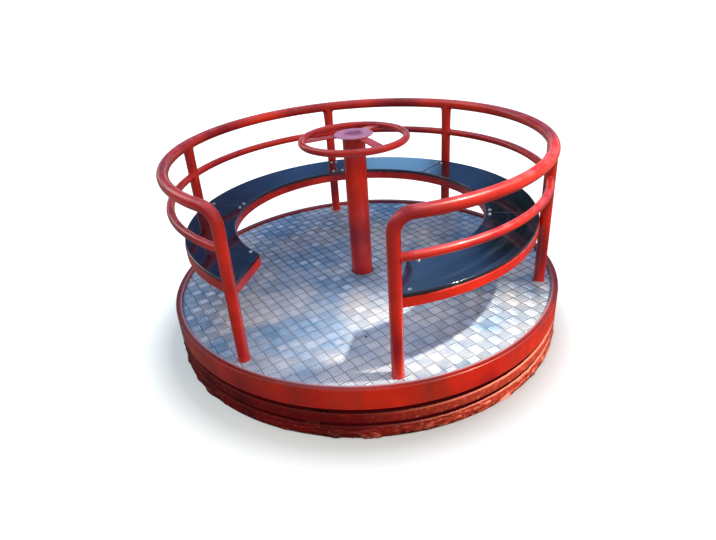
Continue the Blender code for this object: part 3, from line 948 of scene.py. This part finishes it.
class ROUNDABOUT_OT_deck(bpy.types.Operator):
    """Build the raised bars of the chequer plate and finish the plate"""

    bl_idname = "roundabout.deck"
    bl_label = "Chequer plate"

    def execute(self, context):
        deck = context.scene.roundabout_deck
        middles, lengths, ways = lattice_bars(deck)
        template, faces = bar_template()
        count = len(template)
        x = template[:, 0] * lengths
        y = template[:, 1] * deck.bar_width
        u = np.where(ways, x, -y) + middles[:, :1]
        v = np.where(ways, y, x) + middles[:, 1:]
        z = np.broadcast_to(template[:, 2] * deck.bar_height + DECK_TOP, u.shape)
        half = math.sqrt(0.5)
        points = np.stack([(u - v) * half, (u + v) * half, z], -1).reshape(-1, 3)
        all_faces = [tuple(i * count + k for k in face)
                     for i in range(len(lengths)) for face in faces]
        bars = build("chequer_bars", (points.tolist(), all_faces))
        dress(bars, "platform", "chequer_plate",
              rolled_aluminium("polished_chequer_bars", deck, polish=1.0, tone_with_recess_shade=1.04),
              sharp_angle=60)
        # The plate is painted darker than the bars, a painted shade in the recesses between them
        paint_nodes(["deck_plate"], rolled_aluminium("rolled_chequer_plate", deck, polish=0.0,
                                                     tone_with_recess_shade=0.70))
        self.add_screw(context)
        return {"FINISHED"}

    def add_screw(self, context):
        """The screw that holds the plate down in front of the bench."""
        z = DECK_TOP - PIECE_GAP
        head = [(0.0052, z), (0.0052, z + 0.0009), (0.0044, z + 0.0014), (0.0026, z + 0.0015),
                (0.0024, z + 0.0007)]
        screw = build("deck_screw", turned(head, 24, Vector(SCREW_PLACE)))
        dress(screw, "platform", None, underframe_steel(context))


class ROUNDABOUT_OT_rim(bpy.types.Operator):
    """Build the rim band with its edge bar"""

    bl_idname = "roundabout.rim"
    bl_label = "Rim band"

    def execute(self, context):
        top, under = RIM_HIGH.z, RIM_LOW.z
        bar_under = DECK_TOP + PIECE_GAP
        inner = RIM_R - RIM_WALL
        edge = 0.0030
        profile = rounded([(RIM_R, under), (RIM_R, top), (EDGE_BAR_IN, top),
                           (EDGE_BAR_IN, bar_under), (inner, bar_under), (inner, under)], edge)
        dress(build("rim_band", hoop(profile, RIM_STEPS)), "platform", "red_paint",
              scuffed_enamel_band(context.scene.roundabout_paint), "rim_skirt")
        return {"FINISHED"}


# Bench

def bench_bolts():
    """Places of the bolts, those at the joints first."""
    places = []
    for angle in POST_ANGLES.values():
        for radius, spread in JOINT_BOLTS:
            turn = math.degrees(spread / radius)
            places += [polar(radius, angle - turn), polar(radius, angle + turn)]
    for x, radius in itertools.product((-END_BOLT_X, END_BOLT_X), END_BOLTS):
        places.append(Vector((x, -math.sqrt(radius ** 2 - x ** 2), 0.0)))
    return places


class ROUNDABOUT_OT_bench(bpy.types.Operator):
    """Build the bench boards, the flat bars under them and their bolts"""

    bl_idname = "roundabout.bench"
    bl_label = "Ring bench"

    def execute(self, context):
        bench = context.scene.roundabout_bench
        paint = red_enamel(context)
        self.add_boards(bench)
        self.add_bars(paint)
        paint_nodes([f"seat_bracket_{side}" for side in POST_ANGLES], paint)
        self.add_bolts(bench)
        return {"FINISHED"}

    def add_boards(self, bench):
        """Five boards that meet over the posts, the two end ones cut square at the gateway."""
        finish_as = ("platform", "black_board", lacquered_board(bench))
        end_x = GATE_X - BAR_T / 2 - PIECE_GAP
        joint = math.degrees(BOARD_JOINT / 2 / BENCH_OUT_R)
        board = rectangle(BENCH_IN_R, BENCH_OUT_R, BOARD_LOW.z, BOARD_HIGH.z, bench.edge)
        for i, name in enumerate(SPAN_NAMES):
            start, end = SPAN_STOPS[i] + joint, SPAN_STOPS[i + 1] - joint
            first, last = i == 0, i == len(SPAN_NAMES) - 1

            def span(radius):
                gate = gate_span(radius, end_x)
                return gate[0] if first else start, gate[1] if last else end

            made = build(f"bench_board_{name}", arc_strip(board, span, 56))
            ends = made.modifiers.new("Soften ends", "BEVEL")
            ends.width = BOARD_END_BEVEL
            ends.segments = 2
            ends.limit_method = "ANGLE"
            ends.angle_limit = math.radians(50)
            ends.harden_normals = True
            dress(made, *finish_as, f"seat_board_{name}")

    def add_bars(self, paint):
        """The inner and outer flat bars under the boards, and the end bars beside the gateway."""
        finish_as = ("platform", "red_paint", paint)
        bar_x = GATE_X + BAR_T / 2 + PIECE_GAP
        for name, inner_r in (("inner", INNER_BAR_R - BAR_T), ("outer", OUTER_BAR_R - BAR_T)):
            profile = rectangle(inner_r, inner_r + BAR_T, BAR_LOW.z, BAR_HIGH.z, BAR_EDGE)
            ring = arc_strip(profile, lambda r: gate_span(r, bar_x), 240)
            dress(build(f"bench_{name}_ring", ring), *finish_as,
                  f"seat_{name}_bar_left", f"seat_{name}_bar_right")
        for side in ("left", "right"):
            low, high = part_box(f"seat_end_bar_{side}")
            x = (low.x + high.x) / 2
            section = rectangle(-BAR_T / 2, BAR_T / 2, low.z, high.z, BAR_EDGE)
            path = [Vector((x, low.y, 0.0)), Vector((x, high.y, 0.0))]
            bar = build(f"bench_end_bar_{side}", sweep(path, section, Vector((-1, 0, 0))))
            dress(bar, *finish_as, f"seat_end_bar_{side}")

    def add_bolts(self, bench):
        """Domed heads on washers above the boards, nuts and stud ends below."""
        radius = bench.bolt_r
        top = BOARD_HIGH.z
        washer_r, washer_top, head_foot = radius * 1.3, top + 0.0012, top + 0.0014
        head = [(washer_r, top - PIECE_GAP), (washer_r, washer_top), (radius, head_foot)]
        for i in range(1, 6):
            rise = math.radians(90 * i / 5)
            head.append((radius * math.cos(rise) + 0.0002, head_foot + 0.0042 * math.sin(rise)))
        shapes = []
        bracket_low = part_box("seat_bracket_right")[0].z
        joint_bolts = len(POST_ANGLES) * BOLTS_AT_JOINT
        nut_r, nut_h, stud_r = 0.0062, 0.0052, 0.0030
        for i, place in enumerate(bench_bolts()):
            under = bracket_low if i < joint_bolts else BOARD_LOW.z
            nut = [(nut_r, under + PIECE_GAP), (nut_r, under - nut_h)]
            stud = [(stud_r, under - 0.005), (stud_r, under - 0.0085), (0.0024, under - 0.0092)]
            shapes += [turned(head, 20, place), turned(nut, 6, place), turned(stud, 12, place)]
        dress(build("bench_bolts", *shapes), "platform", None, zinc_plated_steel(bench))


# Column and hand wheel

def spoke_path():
    """Middle line of a wheel spoke in its own (outward, up) plane, with a soft bend."""
    sunk, bend, soft = 0.002, 0.088, 0.016
    into_ring = 0.004
    points = [(COLUMN_R - sunk, SPOKE_TOP - SPOKE_T / 2)]
    corner = Vector((bend, SPOKE_TOP - SPOKE_T / 2))
    end = Vector((WHEEL_R - WHEEL_TUBE_R + into_ring, WHEEL_Z))
    before = corner - Vector((soft, 0.0))
    after = corner + (end - corner).normalized() * soft
    for i in range(7):
        t = i / 6
        points.append(tuple(before * (1 - t) ** 2 + corner * 2 * t * (1 - t) + after * t ** 2))
    points.append(tuple(end))
    return points


class ROUNDABOUT_OT_column_and_wheel(bpy.types.Operator):
    """Build the centre column and the hand wheel"""

    bl_idname = "roundabout.column_and_wheel"
    bl_label = "Column and hand wheel"

    def execute(self, context):
        finish_as = ("base", "red_paint", red_enamel(context))
        low, high = COLUMN_LOW.z, COLUMN_HIGH.z
        profile = [(COLUMN_R, low + (high - low) * i / 8) for i in range(9)]
        column = turned(profile, COLUMN_SIDES)
        dress(build("column_tube", column), *finish_as, "centre_column")
        path = [polar(WHEEL_R, a, WHEEL_Z) for a in once_round(RING_STEPS)]
        dress(build("wheel_tube", tube(path, WHEEL_TUBE_R, 24, loop=True)), *finish_as,
              "wheel_ring")
        section = rectangle(-SPOKE_T / 2, SPOKE_T / 2, -SPOKE_W / 2, SPOKE_W / 2, SPOKE_EDGE)
        for number, angle in enumerate(SPOKE_ANGLES, 1):
            path = [polar(r, angle, z) for r, z in spoke_path()]
            spoke = build(f"hand_wheel_spoke_{number}", sweep(path, section, UP))
            dress(spoke, *finish_as, f"wheel_spoke_{number}")
        weld = foot_weld(Vector(), COLUMN_R, bead_r=0.0028, z=SPOKE_TOP - 0.007, seed=40)
        dress(build("wheel_welds", weld), *finish_as)
        self.add_plate(context)
        return {"FINISHED"}

    def add_plate(self, context):
        """The thin hub plate, a little dished in the middle and rounded at its edge."""
        low, high = PLATE_LOW.z, PLATE_HIGH.z
        radius = PLATE_HIGH.x * 0.96
        dish = 0.0012
        edge = (high - low) / 2
        hole = 0.0005
        profile = [(hole, high - dish), (radius * 0.3, high - dish), (radius * 0.36, high),
                   (radius * 0.8, high), (radius - edge, high - 0.0003)]
        for i in range(1, 8):
            turn = math.radians(90 - 180 * i / 8)
            profile.append((radius - edge + edge * math.cos(turn),
                            high - edge + edge * math.sin(turn)))
        profile += [(radius - edge, low), (hole, low)]
        dress(build("hand_wheel_plate", turned(profile, 72)), "base", "worn_paint",
              worn_enamel_plate(context.scene.roundabout_paint), "hub_plate")


# Ground rings and underframe

def rough_ring(low, high, bulge, chip, ragged, spill, seed):
    """A ground ring with a lumpy face, a chipped top edge, a ragged foot and caked clods."""
    outer, inner = RIM_R, RIM_R - GROUND_RING_T
    rows = 10
    profile = [(outer, i / rows) for i in range(rows + 1)]
    profile += [(inner, 1.0), (inner, 0.5), (inner, 0.0)]
    rings = []
    for angle in once_round(720):
        # Slow waves are about 44 mm long round the ring, and quick ones about 10 mm
        around = polar(6.0, angle, seed)
        slow = noise.fractal(around * 3.0, 1.0, 2.0, 4)
        quick = noise.fractal(around * 14.0, 1.0, 2.0, 3)
        top = high - chip * max(0.0, slow * 1.5 + quick - 0.25)
        foot = low + ragged * min(1.0, max(0.0, 0.35 + slow + 0.7 * quick))
        ring = []
        for r, share in profile:
            z = foot + (top - foot) * share
            lump = 0.0
            if r == outer:
                spot = Vector((around.x * 4, around.y * 4, z * 110 + seed))
                edge = 1.0 - abs(share * 2 - 1) ** 8
                lump = bulge * (noise.fractal(spot, 0.8, 2.0, 4) - 0.35) * edge
                lump -= 0.0012 * (1.0 - edge)
                clod = noise.fractal(around * 2.6 + Vector((0, 0, z * 25)), 1.0, 2.3, 4)
                lump += spill * max(0.0, clod + 0.12) * max(0.0, 1.0 - share * 1.5) ** 0.6
            ring.append(polar(r + lump, angle, z))
        rings.append(ring)
    return skin(rings, loop=True)


class ROUNDABOUT_OT_ground_rings(bpy.types.Operator):
    """Build the two weathered ground rings"""

    bl_idname = "roundabout.ground_rings"
    bl_label = "Ground rings"

    def execute(self, context):
        paint = context.scene.roundabout_paint
        upper = rough_ring(UPPER_RING_LOW.z, UPPER_RING_HIGH.z, bulge=0.0005, chip=0.0010,
                           ragged=0.0006, spill=0.0, seed=3.0)
        lower = rough_ring(0.0, LOWER_RING_HIGH.z, bulge=0.0028, chip=0.0030,
                           ragged=0.0060, spill=0.0095, seed=11.0)
        for side, shape, finish_name, soil_height, crust_bump in (
                ("upper", upper, "chalky_enamel_on_upper_ring", 0.075, 0.15),
                ("lower", lower, "crusted_enamel_on_lower_ring", 0.035, 0.5)):
            dress(build(f"ground_ring_{side}", shape), "base", "base_paint",
                  crusted_paint(finish_name, paint, soil_height, crust_bump),
                  f"base_ring_{side}")
        return {"FINISHED"}


class ROUNDABOUT_OT_underframe(bpy.types.Operator):
    """Finish the arms and bearing parts under the platform"""

    bl_idname = "roundabout.underframe"
    bl_label = "Underframe"

    def execute(self, context):
        names = [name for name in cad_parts
                 if name.startswith(("base_arm", "deck_arm", "bearing", "platform_hub"))]
        paint_nodes(names, underframe_steel(context))
        return {"FINISHED"}


# Studio

def compass(azimuth, elevation):
    """The direction at these angles in degrees; azimuth turns from +X to +Y."""
    level = polar(math.cos(math.radians(elevation)), azimuth)
    return Vector((level.x, level.y, math.sin(math.radians(elevation))))


def soft_patch(add, way, azimuth, elevation, inside, outside):
    """1 within an angle of a direction in the surround, falling to 0 further out."""
    near = add("VectorMath", way, tuple(compass(azimuth, elevation)), operation="DOT_PRODUCT")
    return add("MapRange", near, From_Min=math.cos(math.radians(outside)),
               From_Max=math.cos(math.radians(inside)), interpolation_type="SMOOTHSTEP")


class ROUNDABOUT_OT_stage(bpy.types.Operator):
    """Set up the floor, the soft light and the camera"""

    bl_idname = "roundabout.stage"
    bl_label = "Studio"

    def execute(self, context):
        stage = context.scene.roundabout_stage
        corners = [(x * FLOOR_REACH, y * FLOOR_REACH, 0.0)
                   for x, y in ((-1, -1), (1, -1), (1, 1), (-1, 1))]
        floor = build("studio_floor", (corners, [(0, 1, 2, 3)]))
        floor.data.materials.append(painted_floor(stage))
        floor.location.z = -FLOOR_DROP
        self.add_surround(context, stage)
        self.add_key(stage, floor)
        self.add_camera(context)
        context.scene.view_settings.view_transform = "Standard"
        return {"FINISHED"}

    def add_key(self, stage, floor):
        """A soft-edged key light on the sunny side; it leaves the floor to the surround."""
        data = bpy.data.lights.new("key_light", "SPOT")
        data.energy = stage.key_power
        data.color = KEY_COLOUR
        data.shadow_soft_size = KEY_DISTANCE * math.tan(stage.key_spread / 2)
        data.spot_size = 2 * math.atan(KEY_REACH / KEY_DISTANCE)
        data.spot_blend = 1.0
        key = link_object("key_light", data)
        way = compass(*KEY_WAY)
        key.location = Vector(KEY_AIM) + way * KEY_DISTANCE
        key.scale.x = KEY_ACROSS
        key.rotation_euler = way.to_track_quat("Z", "Y").to_euler()
        unlit = bpy.data.collections.new("out_of_key_light")
        unlit.objects.link(floor)
        unlit.collection_objects[0].light_linking.link_state = "EXCLUDE"
        key.light_linking.receiver_collection = unlit

    def add_surround(self, context, stage):
        """A soft surround: pale blue overhead, deep blue behind, and white to the camera."""
        world = bpy.data.worlds.new("soft_surround")
        context.scene.world = world
        world.use_nodes = True
        world.node_tree.nodes.clear()
        add = functools.partial(node, world.node_tree)
        way = add("TexCoord").outputs["Generated"]
        axes = add("SeparateXYZ", way).outputs
        sky = add("ValToRGB", axes["Z"], stops=[(at, colour(shade)) for at, shade in SKY])
        clouds = add("TexNoise", way, Scale=3.2, Detail=3.0)
        cover = add("MapRange", clouds, From_Min=0.38, From_Max=0.62, To_Min=0.6, To_Max=1.35)
        shown = add("VectorMath", sky, cover, operation="SCALE")
        rays = add("LightPath")
        for azimuth, elevation, inside, outside, rgb, kept in SOFT_PATCHES:
            patch = soft_patch(add, way, azimuth, elevation, inside, outside)
            share = add("MapRange", rays.outputs["Is Glossy Ray"], To_Min=1.0, To_Max=kept)
            shown = masked(add, shown, rgb, patch, share)
        # A bright strip low behind, which the glossy tubes draw out into thin lines
        strip = add("ValToRGB", axes["Z"],
                    stops=((0.02, 0.0), (0.05, 1.0), (0.12, 1.0), (0.17, 0.0)))
        behind = add("MapRange", axes["Y"], From_Min=0.2, From_Max=0.6)
        shown = masked(add, shown, STRIP_COLOUR, strip, behind)
        plain = add("Mix", rays.outputs["Is Camera Ray"], shown, BACKDROP_WHITE,
                    data_type="RGBA")
        add("OutputWorld", add("Background", plain, stage.sky_power))

    def add_camera(self, context):
        data = bpy.data.cameras.new("photo_camera")
        data.lens = CAMERA_LENS
        data.sensor_width = 36.0
        data.shift_x, data.shift_y = CAMERA_SHIFT
        camera = link_object("photo_camera", data)
        camera.location = CAMERA_PLACE
        camera.rotation_euler = Euler([math.radians(a) for a in CAMERA_TURN])
        context.scene.camera = camera


class ROUNDABOUT_PT_panel(bpy.types.Panel):
    """Lists the roundabout's pieces"""

    bl_idname = "ROUNDABOUT_PT_panel"
    bl_label = "Playground roundabout"
    bl_space_type = "VIEW_3D"
    bl_region_type = "UI"
    bl_category = "Roundabout"

    def draw(self, context):
        for operator in OPERATORS:
            self.layout.operator(operator.bl_idname)
        for group in SETTINGS:
            box = self.layout.box()
            settings = getattr(context.scene, group)
            for name in settings.__annotations__:
                box.prop(settings, name)


OPERATORS = (
    ROUNDABOUT_OT_deck,
    ROUNDABOUT_OT_rim,
    ROUNDABOUT_OT_guard_rail,
    ROUNDABOUT_OT_bench,
    ROUNDABOUT_OT_column_and_wheel,
    ROUNDABOUT_OT_ground_rings,
    ROUNDABOUT_OT_underframe,
    ROUNDABOUT_OT_stage,
)
SETTINGS = {
    "roundabout_paint": RoundaboutPaint,
    "roundabout_rail": RoundaboutRail,
    "roundabout_deck": RoundaboutDeck,
    "roundabout_bench": RoundaboutBench,
    "roundabout_stage": RoundaboutStage,
}


def register():
    for cls in (*SETTINGS.values(), *OPERATORS, ROUNDABOUT_PT_panel):
        bpy.utils.register_class(cls)
    for name, group in SETTINGS.items():
        setattr(bpy.types.Scene, name, PointerProperty(type=group))


def unregister():
    for name in SETTINGS:
        delattr(bpy.types.Scene, name)
    for cls in (ROUNDABOUT_PT_panel, *reversed(OPERATORS), *reversed(SETTINGS.values())):
        bpy.utils.unregister_class(cls)


def main():
    register()
    bpy.ops.roundabout.deck()
    bpy.ops.roundabout.rim()
    bpy.ops.roundabout.guard_rail()
    bpy.ops.roundabout.bench()
    bpy.ops.roundabout.column_and_wheel()
    bpy.ops.roundabout.ground_rings()
    bpy.ops.roundabout.underframe()
    bpy.ops.roundabout.stage()


if __name__ == "__main__":
    main()
